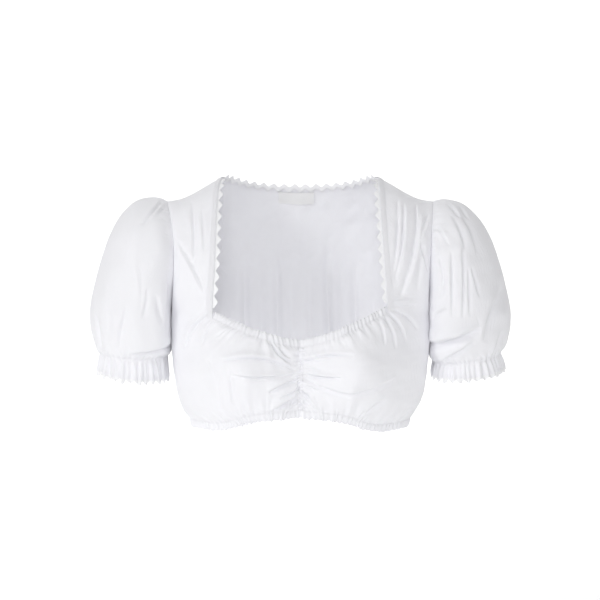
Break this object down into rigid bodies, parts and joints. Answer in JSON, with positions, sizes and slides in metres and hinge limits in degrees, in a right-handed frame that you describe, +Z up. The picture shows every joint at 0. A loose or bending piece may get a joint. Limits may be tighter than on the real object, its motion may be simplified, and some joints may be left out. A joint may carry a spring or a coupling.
{
  "type": "cropped puff-sleeve blouse",
  "caption": "Cropped blouse filled out as if worn: square gathered neckline, ruched centre front, elastic hem, puffed short sleeves with gathered cuffs, zigzag braid edges.",
  "frame": {"origin": "midway between the shoulders, at the height of the neck ends of the shoulder seams, where the wearer holds the blouse up", "axes": "+X to the wearer's left, which is the viewer's right from the front; -Y out of the front of the blouse; +Z up"},
  "size_m": [0.5456, 0.2312, 0.3226],
  "materials": {
    "cotton": "plain-woven white cotton, matt with a faint sheen",
    "braid": "woven white zigzag braid, matt",
    "label": "plain white satin ribbon, slightly glossy"
  },
  "bodies": {
    "root": {"front_left": "cotton", "front_right": "cotton", "centre_gather": "cotton", "back": "cotton", "neck_casing_left": "cotton", "neck_casing_right": "cotton", "hem_casing_front": "cotton", "hem_casing_back": "cotton", "sleeve_left": "cotton", "sleeve_right": "cotton", "cuff_left": "cotton", "cuff_right": "cotton", "neck_band_left": "cotton", "neck_band_right": "cotton", "neck_band_back": "cotton", "neck_braid_left": "braid", "neck_braid_right": "braid", "neck_braid_back": "braid", "cuff_braid_left": "braid", "cuff_braid_right": "braid", "label": "label"}
  },
  "joints": []
}
